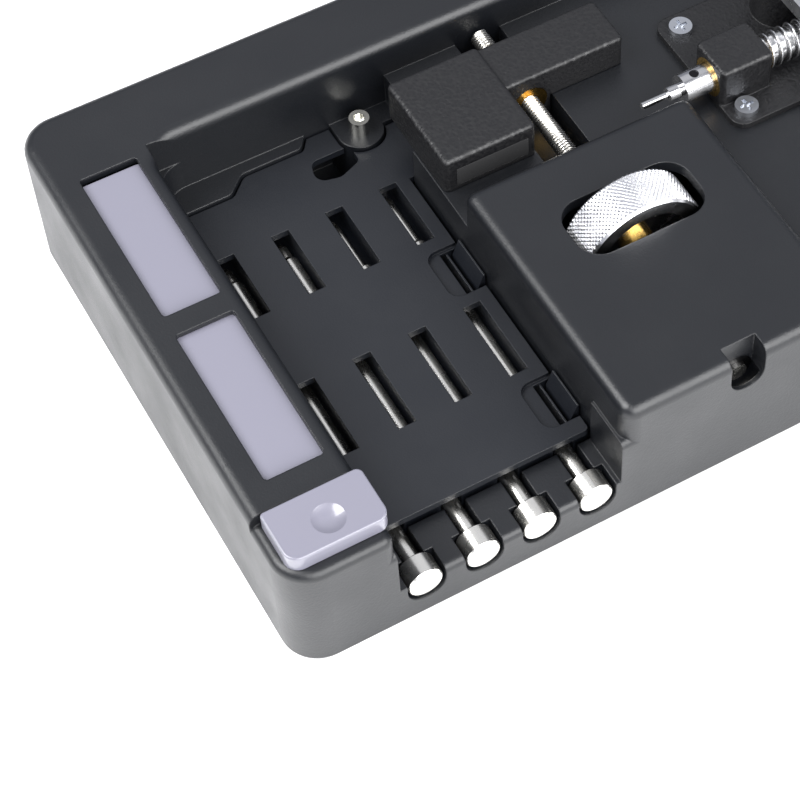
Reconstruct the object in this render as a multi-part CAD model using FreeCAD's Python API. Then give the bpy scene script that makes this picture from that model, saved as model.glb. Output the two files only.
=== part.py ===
"""Bench pin press: a storage strip, a rack of punch pins, a screw vise and a lever ram on one base.

X runs to the right along the front edge, Y from the front to the rear, Z up. Shapes are drawn
from the front left corner of the case's outline, and written with the origin at the middle of
that outline, on the surface that the feet stand on. Millimetres.
"""
import FreeCAD, Part
import math
import os

# ---------------------------------------------------------------- driving dimensions
# case
CASE_WIDTH = 165.0
CASE_DEPTH = 118.5
CASE_HEIGHT = 31.2
FOOT_HEIGHT = 1.2
CORNER_RADIUS = 7.5
TOP_FILLET = 2.4
WALL = 2.6
BED_DROP = 8.8            # from the top of the case down to the vise bed
PLATE_DROP = 17.3         # from the top of the case down to the rack cover
LAND_DROP = 3.4           # from the rack cover down to the lands between the pin heads
# storage strip on the left, recess behind its right side, vise block right of the recess
STRIP_WIDTH = 21.0
REAR_BORDER = 17.0
RECESS_WIDTH = 47.0
RECESS_CORNER = 6.5
BLOCK_WIDTH = 50.3
BLOCK_DEPTH = 60.2
# punch pins
PIN_COUNT = 4
PIN_PITCH = 12.0
FIRST_PIN_X = 26.4
PIN_DROP = 5.7            # from the rack cover down to the pins' axes
SHANK_DIAMETER = 3.4
HEAD_DIAMETER = 7.1
HEAD_LENGTH = 4.6
PIN_LENGTH = 83.0
TIP_DIAMETERS = (2.2, 2.4, 1.3, 2.0)
TIP_LENGTHS = (5.0, 5.0, 14.0, 14.0)
# sliding cover
COVER_THICKNESS = 1.5
COVER_DROP = 1.3          # from the top of the case down to the cover
TAB_RISE = 0.8            # the tab's top above the top of the case
# vise screw and thumbwheel
WHEEL_DIAMETER = 26.6
WHEEL_WIDTH = 9.1
SCREW_DIAMETER = 4.0
SCREW_X = 94.2
SCREW_RISE = 0.2          # the screw's axis above the bed
JAW_OPENING = 7.8
# lever press
RAM_DIAMETER = 6.0
RAM_RISE = 5.4            # the ram's axis above the bed
LEVER_ARM = 12.0
LEVER_SWING = 40.0        # degrees

# ---------------------------------------------------------------- derived places
CASE_BOTTOM = FOOT_HEIGHT
CASE_TOP = CASE_BOTTOM + CASE_HEIGHT
BED_Z = CASE_TOP - BED_DROP
PLATE_Z = CASE_TOP - PLATE_DROP
LAND_Z = PLATE_Z - LAND_DROP
PIN_Z = PLATE_Z - PIN_DROP
SCREW_Z = BED_Z + SCREW_RISE
RAM_AXIS = BED_Z + RAM_RISE
RECESS_RIGHT = STRIP_WIDTH + RECESS_WIDTH
RECESS_REAR = CASE_DEPTH - REAR_BORDER
BLOCK_RIGHT = RECESS_RIGHT + BLOCK_WIDTH
COVER_TOP = CASE_TOP - COVER_DROP
COVER_BOTTOM = COVER_TOP - COVER_THICKNESS
PIN_X = [FIRST_PIN_X + PIN_PITCH * i for i in range(PIN_COUNT)]
EPS = 0.01

# base plate and feet
BASE_PLATE = 2.0
CLEAR = 0.2               # all-round gap of a plate in its pocket
FLOOR_Z = CASE_BOTTOM + 3.0
FOOT_RADIUS = 5.0
FOOT_INSET = 17.0
CASE_SCREW_INSET = 7.0
SCREW_CORE = 1.25         # radius of every small fixing screw and of its hole
SCREW_HEAD = 2.4
COUNTERBORE_DEPTH = 1.1

# strip details
WINDOW_LEFT = 6.15
WINDOW_RIGHT = 17.97
WINDOW_SPANS = ((20.5, 57.2), (62.0, 99.8))
WELL_SIDE = 0.65          # a well's wall stands this far inside its window
COVER_SIDE = 1.25         # the cover reaches this far under the windows' edges
COVER_REAR = 99.0
COVER_GAP = 0.15          # groove clearance over, under and beside the cover
TAB_REAR = 14.5
TAB_FRONT = 2.6
TAB_LEFT = 1.95
TAB_RIGHT = 21.8
DIMPLE_X = 12.1
DIMPLE_Y = 7.6
DIMPLE_BALL = 6.0
DIMPLE_DEPTH = 0.9
STEP_Y = 14.9             # the strip steps down in front of this for the tab
SHELF_FILLET = 1.8

# rack details
GALLERY_Y = 11.4          # the rack cover starts here
LAND_STEP_Y = 4.5         # wide part of the T lands starts here
CHANNEL_WIDTH = SHANK_DIAMETER + 1.1
HEAD_NOTCH_RADIUS = HEAD_DIAMETER / 2 + 0.45
LEDGE_RISE = 0.9
LEDGE_FRONT = 95.1
LEDGE_STEP = 98.8
RACK_REAR = 87.0
PLATE_THICKNESS = 1.6
PLATE_GAP = 0.3
SLOT_WIDTH = SHANK_DIAMETER + 0.4
SLOT_SPANS = ((29.2, 47.7), (65.8, 82.1))
SCOOP_SPANS = ((14.8, 26.3), (50.4, 62.7))
SCOOP_LEFT = 60.1
SCOOP_RADIUS = 2.6
LATCH_LEFT = 65.3
LOBE_X = 64.4
LOBE_Y = 97.3
LOBE_RADIUS = 4.9
REAR_POCKET_RIGHT = 72.6  # the recess widens to here behind the bed's corner
REAR_POCKET_Y = 81.0
THUMB_WELL = (50.6, 88.8, 10.2, 6.4)      # left, front, width, depth

# vise details
WHEEL_Y = 40.7
WINDOW_MARGIN_X = WHEEL_DIAMETER / 2 + 0.55
WINDOW_MARGIN_Y = WHEEL_WIDTH / 2 + 2.6
WINDOW_CORNER = 5.2
FRONT_NOTCH_WIDTH = 7.4
FRONT_NOTCH_DEPTH = 4.2
FRONT_NOTCH_Z = BED_Z - 0.6
CHAMBER_FRONT = 9.5
CHAMBER_REAR = 53.7
BUSH_DIAMETER = 7.0
SPACER_RADIUS = 3.3
RUNNING = 0.06            # radial running clearance
WHEEL_RIM = 3.4
DISH_DEPTH = 3.4
HUB_RADIUS = 3.5
TROUGH_WIDTH = 10.4
TROUGH_Z = BED_Z - 7.0
SCREW_END = RECESS_REAR - 0.5
JAW_FRONT = BLOCK_DEPTH + JAW_OPENING
JAW_LEFT = RECESS_RIGHT + 0.4
UPSTAND_WIDTH = 20.4
BRIDGE_FRONT = JAW_FRONT + 12.0
BRIDGE_DEPTH = 12.0
BRIDGE_RIGHT = 116.0
LUG_WIDTH = 9.4
NUT_DIAMETER = 8.0
PAD_THICKNESS = 1.2
PAD_WIDTH = 16.0
PAD_LEFT = RECESS_RIGHT + 3.0
PAD_RISE = 1.2

# press details
RAM_Y = BLOCK_DEPTH + JAW_OPENING / 2
PIVOT_X = 151.0
PIVOT_Y = RAM_Y + LEVER_ARM
HALF_SWING = math.radians(LEVER_SWING / 2)
DRIVE_X = PIVOT_X + LEVER_ARM * math.sin(HALF_SWING)
DRIVE_Y = PIVOT_Y - LEVER_ARM * math.cos(HALF_SWING)
GUIDE_LEFT = 126.0
GUIDE_RIGHT = 138.0
GUIDE_HALF = 5.2
GUIDE_TOP = RAM_AXIS + 5.2
BRACKET_PLATE = 1.4
BRACKET_RIGHT = 160.0
BRACKET_FRONT = RAM_Y - 11.6
BRACKET_REAR = PIVOT_Y + 9.0
BOSS_RADIUS = 6.0
LEVER_BOTTOM = RAM_AXIS + 6.0
LEVER_THICKNESS = 3.6
PIVOT_DIAMETER = 5.0
DRIVE_DIAMETER = 4.0
YOKE_HALF_X = 4.6
YOKE_HALF_Y = 4.5
YOKE_HALF_Z = 2.9
RAM_TIP_X = 119.5
GRUB_X = RAM_TIP_X + 3.0
GRUB_RADIUS = 1.0
PUNCH_RADIUS = 1.5
PUNCH_DEPTH = 10.0
BUSH_WALL = 1.2
LEVER_HALF = 4.5
LEVER_FRONT = 12.0
GRIP_HALF = 6.5
GRIP_FRONT = 6.0
GRIP_REAR = 46.0
GROOVE_RISE = 0.4
GROOVE_WIDTH = 0.6

os.makedirs("parts", exist_ok=True)


# ---------------------------------------------------------------- helpers
def vec(x, y, z):
    """A point or direction."""
    return FreeCAD.Vector(x, y, z)


def box(x0, x1, y0, y1, z0, z1):
    """An upright block between two corners."""
    return Part.makeBox(x1 - x0, y1 - y0, z1 - z0, vec(x0, y0, z0))


def cyl_z(x, y, z0, z1, radius):
    """A round bar along Z."""
    return Part.makeCylinder(radius, z1 - z0, vec(x, y, z0), vec(0, 0, 1))


def cyl_y(x, z, y0, y1, radius):
    """A round bar along Y."""
    return Part.makeCylinder(radius, y1 - y0, vec(x, y0, z), vec(0, 1, 0))


def cyl_x(y, z, x0, x1, radius):
    """A round bar along X."""
    return Part.makeCylinder(radius, x1 - x0, vec(x0, y, z), vec(1, 0, 0))


def outline(corners):
    """A closed wire in the XY plane from corners (x, y, radius), round where radius > 0."""
    count = len(corners)
    points = [vec(x, y, 0) for x, y, _ in corners]
    starts, ends, middles = [], [], []
    for i, (_, _, radius) in enumerate(corners):
        here = points[i]
        back = (points[i - 1] - here).normalize()
        ahead = (points[(i + 1) % count] - here).normalize()
        if radius <= 0:
            starts.append(here)
            ends.append(here)
            middles.append(None)
            continue
        half = back.getAngle(ahead) / 2
        reach = radius / math.tan(half)
        bisector = (back + ahead).normalize()
        centre = here + bisector * (radius / math.sin(half))
        starts.append(here + back * reach)
        ends.append(here + ahead * reach)
        middles.append(centre - bisector * radius)
    edges = []
    for i in range(count):
        if middles[i] is not None:
            edges.append(Part.Arc(starts[i], middles[i], ends[i]).toShape())
        following = starts[(i + 1) % count]
        if (following - ends[i]).Length > 1e-6:
            edges.append(Part.LineSegment(ends[i], following).toShape())
    return Part.Wire(edges)


def prism(corners, z0, z1):
    """An upright prism over an outline."""
    face = Part.Face(outline(corners))
    face.translate(vec(0, 0, z0))
    return face.extrude(vec(0, 0, z1 - z0))


def rounded_box(x0, x1, y0, y1, z0, z1, radius):
    """An upright block with round vertical edges."""
    return prism([(x0, y0, radius), (x1, y0, radius), (x1, y1, radius), (x0, y1, radius)], z0, z1)


def fillet_level(solid, level, radius):
    """Round every edge that lies in the horizontal plane at this level."""
    edges = []
    for edge in solid.Edges:
        bounds = edge.BoundBox
        if abs(bounds.ZMin - level) < EPS and abs(bounds.ZMax - level) < EPS:
            edges.append(edge)
    return solid.makeFillet(radius, edges)


def front_round(x0, x1, level, radius):
    """The material that rounding a front edge along X at this level takes away."""
    corner = box(x0, x1, -1, radius, level - radius, level + 1)
    return corner.cut(cyl_x(radius, level - radius, x0, x1, radius))


def cut_all(solid, tools):
    """A solid less a list of tools."""
    for tool in tools:
        solid = solid.cut(tool)
    return solid


def save(name, shape):
    """Write one node."""
    placed = shape.copy()
    placed.translate(vec(-CASE_WIDTH / 2, -CASE_DEPTH / 2, 0))
    placed.exportStep(os.path.join("parts", name + ".step"))
    return placed


# ---------------------------------------------------------------- case
def case_outside():
    """The low base with its wing, the raised strip with the shelf under the tab, and the vise block."""
    low = rounded_box(0, CASE_WIDTH, 0, CASE_DEPTH, CASE_BOTTOM, BED_Z, CORNER_RADIUS)
    low = fillet_level(low, BED_Z, 1.5)
    small = 2.0
    raised = prism(
        [
            (0, 0, CORNER_RADIUS),
            (STRIP_WIDTH, 0, small),
            (STRIP_WIDTH, RECESS_REAR, RECESS_CORNER),
            (CASE_WIDTH, RECESS_REAR, small),
            (CASE_WIDTH, CASE_DEPTH, CORNER_RADIUS),
            (0, CASE_DEPTH, CORNER_RADIUS),
        ],
        CASE_BOTTOM,
        CASE_TOP,
    )
    raised = fillet_level(raised, CASE_TOP, TOP_FILLET)
    raised = raised.cut(box(-1, STRIP_WIDTH + 1, -1, STEP_Y, CASE_BOTTOM - 1, CASE_TOP + 1))
    shelf_level = COVER_BOTTOM - COVER_GAP
    shelf_rear = STEP_Y + SHELF_FILLET + 1
    shelf = prism(
        [
            (0, 0, CORNER_RADIUS),
            (STRIP_WIDTH, 0, small),
            (STRIP_WIDTH, shelf_rear, 0),
            (0, shelf_rear, 0),
        ],
        CASE_BOTTOM,
        shelf_level,
    )
    shelf = fillet_level(shelf, shelf_level, SHELF_FILLET)
    block = prism(
        [
            (RECESS_RIGHT, 0, 3.2),
            (BLOCK_RIGHT, 0, small),
            (BLOCK_RIGHT, BLOCK_DEPTH, small),
            (RECESS_RIGHT, BLOCK_DEPTH, small),
        ],
        CASE_BOTTOM,
        CASE_TOP,
    )
    block = fillet_level(block, CASE_TOP, TOP_FILLET)
    return low.fuse([raised, shelf, block])


def case_recess():
    """The recess over the rack, the gallery in front of it and the pocket behind the bed."""
    recess = rounded_box(STRIP_WIDTH, RECESS_RIGHT, GALLERY_Y, RECESS_REAR, FLOOR_Z, CASE_TOP + 1, 0.3)
    widened = box(RECESS_RIGHT - 1, REAR_POCKET_RIGHT, REAR_POCKET_Y, RECESS_REAR, FLOOR_Z, CASE_TOP + 1)
    gallery = box(STRIP_WIDTH, RECESS_RIGHT - 0.6, -1, GALLERY_Y + 1, LAND_Z, CASE_TOP + 1)
    return recess.fuse([widened, gallery])


def recess_corner():
    """Material kept in the recess's rear left corner so that it follows the round rim."""
    keep = box(STRIP_WIDTH - 1, STRIP_WIDTH + RECESS_CORNER, RECESS_REAR - RECESS_CORNER, RECESS_REAR + 1,
               FLOOR_Z, BED_Z)
    centre_x = STRIP_WIDTH + RECESS_CORNER
    centre_y = RECESS_REAR - RECESS_CORNER
    return keep.cut(cyl_z(centre_x, centre_y, FLOOR_Z - 1, CASE_TOP + 1, RECESS_CORNER))


def pin_seats():
    """Shank channels through the lands, and the round notches that the heads lie in."""
    seats = []
    for x in PIN_X:
        half = CHANNEL_WIDTH / 2
        seats.append(box(x - half, x + half, LAND_STEP_Y - 1, GALLERY_Y + 1, PIN_Z, LAND_Z + 1))
        seats.append(cyl_y(x, PIN_Z, LAND_STEP_Y - 1, GALLERY_Y + 1, half))
        wide = HEAD_NOTCH_RADIUS
        head_rear = LAND_STEP_Y + 0.9
        seats.append(box(x - wide, x + wide, -1, head_rear, PIN_Z, LAND_Z + 1))
        seats.append(cyl_y(x, PIN_Z, -1, head_rear, wide))
    return seats


def strip_cuts():
    """Windows, wells and the cover's groove."""
    cuts = []
    for y0, y1 in WINDOW_SPANS:
        cuts.append(rounded_box(WINDOW_LEFT, WINDOW_RIGHT, y0, y1, COVER_TOP - 1, CASE_TOP + 1, 0.8))
        cuts.append(
            rounded_box(WINDOW_LEFT - WELL_SIDE, WINDOW_RIGHT + WELL_SIDE, y0 - 1.2, y1 + 0.5,
                        FLOOR_Z, COVER_TOP - 0.5, 1.5)
        )
    gap = COVER_GAP
    cuts.append(
        box(WINDOW_LEFT - COVER_SIDE - gap, WINDOW_RIGHT + COVER_SIDE + gap, STEP_Y - 1, COVER_REAR + 0.7,
            COVER_BOTTOM - gap, COVER_TOP + gap)
    )
    return cuts


def vise_cuts():
    """Thumbwheel window and chamber, front notch, bearing bores, the bed's trough and jaw pad seat."""
    cuts = [
        rounded_box(SCREW_X - WINDOW_MARGIN_X, SCREW_X + WINDOW_MARGIN_X, WHEEL_Y - WINDOW_MARGIN_Y,
                    WHEEL_Y + WINDOW_MARGIN_Y, CASE_TOP - WALL - 1, CASE_TOP + 1, WINDOW_CORNER),
        box(RECESS_RIGHT + WALL, BLOCK_RIGHT - WALL, CHAMBER_FRONT, CHAMBER_REAR, CASE_BOTTOM - 1,
            CASE_TOP - WALL),
    ]
    notch_half = FRONT_NOTCH_WIDTH / 2
    notch_centre = FRONT_NOTCH_Z + notch_half
    cuts.append(cyl_y(SCREW_X, notch_centre, -1, FRONT_NOTCH_DEPTH, notch_half))
    cuts.append(box(SCREW_X - notch_half, SCREW_X + notch_half, -1, FRONT_NOTCH_DEPTH, notch_centre,
                    CASE_TOP + 1))
    cuts.append(cyl_y(SCREW_X, SCREW_Z, 1.0, CHAMBER_FRONT + 1, BUSH_DIAMETER / 2))
    cuts.append(cyl_y(SCREW_X, SCREW_Z, CHAMBER_REAR - 1, BLOCK_DEPTH + 1, BUSH_DIAMETER / 2))
    half = TROUGH_WIDTH / 2
    cuts.append(box(SCREW_X - half, SCREW_X + half, BLOCK_DEPTH, RECESS_REAR, TROUGH_Z, BED_Z + 1))
    cuts.append(fixed_pad())
    return cuts


def underside_cuts():
    """Hollows in the underside and the pocket that the base cover lies in."""
    under = CASE_BOTTOM - 1
    inner = CORNER_RADIUS - WALL + 1
    return [
        rounded_box(WALL, CASE_WIDTH - WALL, WALL, CASE_DEPTH - WALL, under, CASE_BOTTOM + BASE_PLATE, inner),
        box(RECESS_RIGHT + WALL, BLOCK_RIGHT, BLOCK_DEPTH + WALL, RECESS_REAR - WALL, under, TROUGH_Z - WALL),
        rounded_box(BLOCK_RIGHT + WALL, CASE_WIDTH - WALL, WALL + 1, RECESS_REAR - WALL, under,
                    BED_Z - WALL, 3),
        box(CORNER_RADIUS + 6, CASE_WIDTH - CORNER_RADIUS - 6, RECESS_REAR + WALL, CASE_DEPTH - WALL - 1,
            under, TROUGH_Z - WALL),
    ]


def screw_posts():
    """Posts in the wing's hollow that take the bracket screws."""
    return [cyl_z(x, y, CASE_BOTTOM + BASE_PLATE, BED_Z, 4.0) for x, y in BRACKET_SCREWS]


def ledge():
    """The raised ledge along the recess's rear wall, with its stepped edge and the round lobe."""
    level = PLATE_Z + LEDGE_RISE
    strip = prism(
        [
            (STRIP_WIDTH - 0.5, RECESS_REAR + 0.5, 0),
            (STRIP_WIDTH - 0.5, LEDGE_FRONT, 0),
            (34.4, LEDGE_FRONT, 2.2),
            (38.4, LEDGE_STEP, 2.2),
            (51.8, LEDGE_STEP, 1.6),
            (54.2, RECESS_REAR + 0.5, 0),
        ],
        FLOOR_Z,
        level,
    )
    lobe = cyl_z(LOBE_X, LOBE_Y, FLOOR_Z, level, LOBE_RADIUS)
    neck = box(LOBE_X - LOBE_RADIUS, LOBE_X + LOBE_RADIUS, LOBE_Y, RECESS_REAR + 0.5, FLOOR_Z, level)
    shoulder = box(LOBE_X + 2, REAR_POCKET_RIGHT + 0.5, 96.6, RECESS_REAR + 0.5, FLOOR_Z, level)
    return strip.fuse([lobe, neck, shoulder])


def top_case():
    """The moulded case."""
    case = case_outside().cut(case_recess())
    case = case.fuse(recess_corner()).fuse(ledge())
    case = cut_all(case, pin_seats())
    case = cut_all(case, [front_round(STRIP_WIDTH + 1.4, RECESS_RIGHT - 1.6, LAND_Z, 1.6)])
    case = cut_all(case, strip_cuts() + vise_cuts() + underside_cuts())
    case = case.fuse(screw_posts())
    holes = [cyl_z(x, y, CASE_BOTTOM - 1, FLOOR_Z + 5, SCREW_CORE) for x, y in CASE_SCREWS]
    holes += [cyl_z(x, y, BED_Z - 9, BED_Z + 1, SCREW_CORE) for x, y in BRACKET_SCREWS]
    holes.append(cyl_z(LOBE_X, LOBE_Y, PLATE_Z - 8, CASE_TOP, SCREW_CORE))
    return cut_all(case, holes)


# ---------------------------------------------------------------- fasteners and feet
CASE_SCREWS = [
    (CASE_SCREW_INSET + 3, CASE_DEPTH - CASE_SCREW_INSET),
    (CASE_WIDTH - CASE_SCREW_INSET - 3, CASE_DEPTH - CASE_SCREW_INSET),
    (STRIP_WIDTH / 2 + 0.6, 8.0),
    (RECESS_RIGHT + 5.4, 5.6),
]
BRACKET_SCREWS = [
    (GUIDE_LEFT + 4.2, BRACKET_FRONT + 3.6),
    (BRACKET_RIGHT - 4.2, BRACKET_FRONT + 3.6),
    (GUIDE_LEFT + 4.2, BRACKET_REAR - 4.2),
]
FEET = [
    (FOOT_INSET, FOOT_INSET),
    (CASE_WIDTH - FOOT_INSET, FOOT_INSET),
    (CASE_WIDTH - FOOT_INSET, CASE_DEPTH - FOOT_INSET - 6),
    (FOOT_INSET, CASE_DEPTH - FOOT_INSET - 6),
]


def pan_screw(x, y, seat, length, head_height, up):
    """A cross-recess screw whose head sits on the seat; up is +1 or -1, the way its head faces."""
    shank = Part.makeCylinder(SCREW_CORE, length, vec(x, y, seat), vec(0, 0, -up))
    head = Part.makeCylinder(SCREW_HEAD, head_height, vec(x, y, seat), vec(0, 0, up))
    screw = shank.fuse(head)
    top = seat + up * head_height
    reach = SCREW_HEAD * 0.62
    depth = head_height * 0.6
    low, high = sorted((top, top - up * depth))
    for dx, dy in ((reach, 0.35), (0.35, reach)):
        screw = screw.cut(box(x - dx, x + dx, y - dy, y + dy, low - (0.1 if up < 0 else 0),
                              high + (0.1 if up > 0 else 0)))
    return screw


def base_cover():
    """The plate that closes the underside, with counterbored screw holes."""
    gap = WALL + CLEAR
    plate = rounded_box(gap, CASE_WIDTH - gap, gap, CASE_DEPTH - gap, CASE_BOTTOM,
                        CASE_BOTTOM + BASE_PLATE, CORNER_RADIUS - WALL + 0.8)
    tools = []
    for x, y in CASE_SCREWS:
        tools.append(cyl_z(x, y, CASE_BOTTOM - 1, CASE_BOTTOM + BASE_PLATE + 1, SCREW_CORE))
        tools.append(cyl_z(x, y, CASE_BOTTOM - 1, CASE_BOTTOM + COUNTERBORE_DEPTH, SCREW_HEAD + CLEAR))
    return cut_all(plate, tools)


def case_screws():
    """Four screws through the base cover."""
    return Part.makeCompound(
        [pan_screw(x, y, CASE_BOTTOM + COUNTERBORE_DEPTH, 5.5, 0.9, -1) for x, y in CASE_SCREWS]
    )


def feet():
    """Four round rubber feet under the base cover."""
    pads = []
    for x, y in FEET:
        pad = cyl_z(x, y, 0, CASE_BOTTOM, FOOT_RADIUS)
        pads.append(pad.makeChamfer(0.4, [pad.Edges[2]]))
    return Part.makeCompound(pads)


# ---------------------------------------------------------------- rack
def pin_rack():
    """The rack block under the cover, with an open channel for each shank."""
    side = 0.3
    rack = box(STRIP_WIDTH + side, RECESS_RIGHT - side, GALLERY_Y + 1.3, RACK_REAR, FLOOR_Z,
               PLATE_Z - PLATE_THICKNESS)
    half = CHANNEL_WIDTH / 2
    tools = []
    for x in PIN_X:
        tools.append(box(x - half, x + half, 0, CASE_DEPTH, PIN_Z, PLATE_Z))
        tools.append(cyl_y(x, PIN_Z, 0, CASE_DEPTH, half))
    for y0, y1 in SCOOP_SPANS:
        tools.append(box(PIN_X[-1] + half + 0.4, RECESS_RIGHT, y0 + 0.4, y1 - 0.4, FLOOR_Z + 2, PLATE_Z))
    return cut_all(rack, tools)


def rack_cover():
    """The plate over the rack: eight slots, two finger scoops, a thumb well and a stepped rear edge."""
    gap = PLATE_GAP
    plate = prism(
        [
            (STRIP_WIDTH + gap, GALLERY_Y, 0.6),
            (RECESS_RIGHT - 0.8, GALLERY_Y, 0.8),
            (RECESS_RIGHT - 0.8, REAR_POCKET_Y + 0.6, 0),
            (REAR_POCKET_RIGHT - gap, REAR_POCKET_Y + 0.6, 0),
            (REAR_POCKET_RIGHT - gap, RECESS_REAR - gap, 0),
            (STRIP_WIDTH + gap, RECESS_REAR - gap, 0),
        ],
        PLATE_Z - PLATE_THICKNESS,
        PLATE_Z,
    )
    tools = [grown_ledge()]
    half = SLOT_WIDTH / 2
    for x in PIN_X:
        for y0, y1 in SLOT_SPANS:
            tools.append(box(x - half, x + half, y0, y1, 0, CASE_TOP))
    for y0, y1 in SCOOP_SPANS:
        tools.append(scoop(y0, y1))
        tools.append(box(LATCH_LEFT - 2.0, RECESS_RIGHT, y0 + 0.6, y1 - 0.6, 0, CASE_TOP))
    x, y, width, depth = THUMB_WELL
    tools.append(
        prism([(x, y + 1.2, 2.4), (x + width * 0.5, y, 3.0), (x + width, y + 2.0, 1.6),
               (x + width, y + depth, 1.4), (x + 1.4, y + depth, 2.0)], 0, CASE_TOP)
    )
    return cut_all(plate, tools)


def grown_ledge():
    """The ledge's outline grown by the plate's gap."""
    shape = ledge()
    gap = PLATE_GAP
    moves = [(-gap, -gap), (0, -gap), (gap, -gap), (gap, 0)]
    grown = shape
    for dx, dy in moves:
        moved = shape.copy()
        moved.translate(vec(dx, dy, 0))
        grown = grown.fuse(moved)
    return grown


def scoop(y0, y1):
    """A shallow finger recess, round at its left corners."""
    floor = PLATE_Z - 1.0
    return prism(
        [(SCOOP_LEFT, y0, SCOOP_RADIUS), (RECESS_RIGHT, y0, 0), (RECESS_RIGHT, y1, 0),
         (SCOOP_LEFT, y1, SCOOP_RADIUS)], floor, CASE_TOP)


def latch(y0, y1):
    """A springy hook that rises from the rack floor beside a scoop and holds the cover's edge."""
    margin = 1.1
    right = RECESS_RIGHT - 0.35
    stem = box(LATCH_LEFT + 0.6, right, y0 + margin, y1 - margin, FLOOR_Z + 2, PLATE_Z + 1.8)
    slope = Part.makePolygon(
        [vec(LATCH_LEFT + 0.5, 0, PLATE_Z + 1.9), vec(LATCH_LEFT + 0.5, 0, PLATE_Z - 2),
         vec(right - 0.3, 0, PLATE_Z + 1.9), vec(LATCH_LEFT + 0.5, 0, PLATE_Z + 1.9)]
    )
    wedge = Part.Face(slope).extrude(vec(0, CASE_DEPTH, 0))
    return stem.cut(wedge)


def rack_screw():
    """The socket head screw that stands on the lobe."""
    seat = PLATE_Z + LEDGE_RISE
    shank = cyl_z(LOBE_X, LOBE_Y, seat - 7, seat, SCREW_CORE)
    screw = shank.fuse(cyl_z(LOBE_X, LOBE_Y, seat, seat + 3.6, 2.1))
    socket = Part.makePolygon(
        [vec(LOBE_X + 1.2 * math.cos(math.radians(60 * i)), LOBE_Y + 1.2 * math.sin(math.radians(60 * i)),
             seat + 1.8) for i in range(7)]
    )
    return screw.cut(Part.Face(socket).extrude(vec(0, 0, 5)))


def punch_pin(index):
    """A headed punch: flat head, straight shank and a thin tip."""
    x = PIN_X[index]
    face_y = 0.45
    end = face_y + PIN_LENGTH
    tip = TIP_LENGTHS[index]
    point = 1.2
    head = cyl_y(x, PIN_Z, face_y, face_y + HEAD_LENGTH, HEAD_DIAMETER / 2)
    rims = [e for e in head.Edges if len(e.Vertexes) == 1]
    head = head.makeChamfer(0.25, rims)
    shank = cyl_y(x, PIN_Z, face_y + 1, end - tip, SHANK_DIAMETER / 2)
    taper = Part.makeCone(SHANK_DIAMETER / 2, TIP_DIAMETERS[index] / 2, 1.0,
                          vec(x, end - tip, PIN_Z), vec(0, 1, 0))
    needle = cyl_y(x, PIN_Z, end - tip, end - point, TIP_DIAMETERS[index] / 2)
    cone = Part.makeCone(TIP_DIAMETERS[index] / 2, TIP_DIAMETERS[index] / 4, point,
                         vec(x, end - point, PIN_Z), vec(0, 1, 0))
    centre_mark = Part.makeCone(0.45, 0.0, 0.35, vec(x, face_y - EPS, PIN_Z), vec(0, 1, 0))
    return head.fuse([shank, taper, needle, cone]).cut(centre_mark)


# ---------------------------------------------------------------- sliding cover
def slide_cover():
    """The clear sliding cover with its pull tab and thumb dimple."""
    plate = prism(
        [
            (WINDOW_LEFT - COVER_SIDE, TAB_REAR - 2, 0),
            (WINDOW_RIGHT + COVER_SIDE, TAB_REAR - 2, 0),
            (WINDOW_RIGHT + COVER_SIDE, COVER_REAR, 2.0),
            (WINDOW_LEFT - COVER_SIDE, COVER_REAR, 2.0),
        ],
        COVER_BOTTOM,
        COVER_TOP,
    )
    tab = prism(
        [(TAB_LEFT, TAB_FRONT, 2.8), (TAB_RIGHT, TAB_FRONT, 2.4), (TAB_RIGHT, TAB_REAR, 1.4),
         (TAB_LEFT, TAB_REAR, 0.8)],
        COVER_BOTTOM,
        CASE_TOP + TAB_RISE,
    )
    tab = fillet_level(tab, CASE_TOP + TAB_RISE, 0.4)
    ball_z = CASE_TOP + TAB_RISE - DIMPLE_DEPTH + DIMPLE_BALL
    dimple = Part.makeSphere(DIMPLE_BALL, vec(DIMPLE_X, DIMPLE_Y, ball_z))
    return plate.fuse(tab).cut(dimple)


# ---------------------------------------------------------------- vise
def bush(y0, y1, bore_radius):
    """A plain bearing bush along Y, with a flange-free round outside."""
    return cyl_y(SCREW_X, SCREW_Z, y0, y1, BUSH_DIAMETER / 2).cut(
        cyl_y(SCREW_X, SCREW_Z, y0 - 1, y1 + 1, bore_radius))


def thumbwheel():
    """The knurled wheel, dished in front, with a boss bored for the hub."""
    radius = WHEEL_DIAMETER / 2
    front = WHEEL_Y - WHEEL_WIDTH / 2
    rear = WHEEL_Y + WHEEL_WIDTH / 2
    wheel = cyl_y(SCREW_X, SCREW_Z, front, rear, radius)
    rims = [e for e in wheel.Edges if len(e.Vertexes) == 1]
    wheel = wheel.makeChamfer(0.5, rims)
    dish = cyl_y(SCREW_X, SCREW_Z, front - 1, front + DISH_DEPTH, radius - WHEEL_RIM)
    bore = cyl_y(SCREW_X, SCREW_Z, front - 1, rear + 1, HUB_RADIUS)
    return wheel.cut(dish).cut(bore)


def wheel_hub():
    """The brass hub pressed into the wheel and pinned to the screw."""
    front = WHEEL_Y - WHEEL_WIDTH / 2
    rear = WHEEL_Y + WHEEL_WIDTH / 2
    hub = cyl_y(SCREW_X, SCREW_Z, front + 0.6, rear, HUB_RADIUS)
    return hub.cut(cyl_y(SCREW_X, SCREW_Z, front - 1, rear + 1, SCREW_DIAMETER / 2))


def jaw_screw():
    """The vise screw, from its front journal to its rear end."""
    screw = cyl_y(SCREW_X, SCREW_Z, 3.2, SCREW_END, SCREW_DIAMETER / 2)
    rims = [e for e in screw.Edges if len(e.Vertexes) == 1]
    return screw.makeChamfer(0.4, rims)


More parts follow.
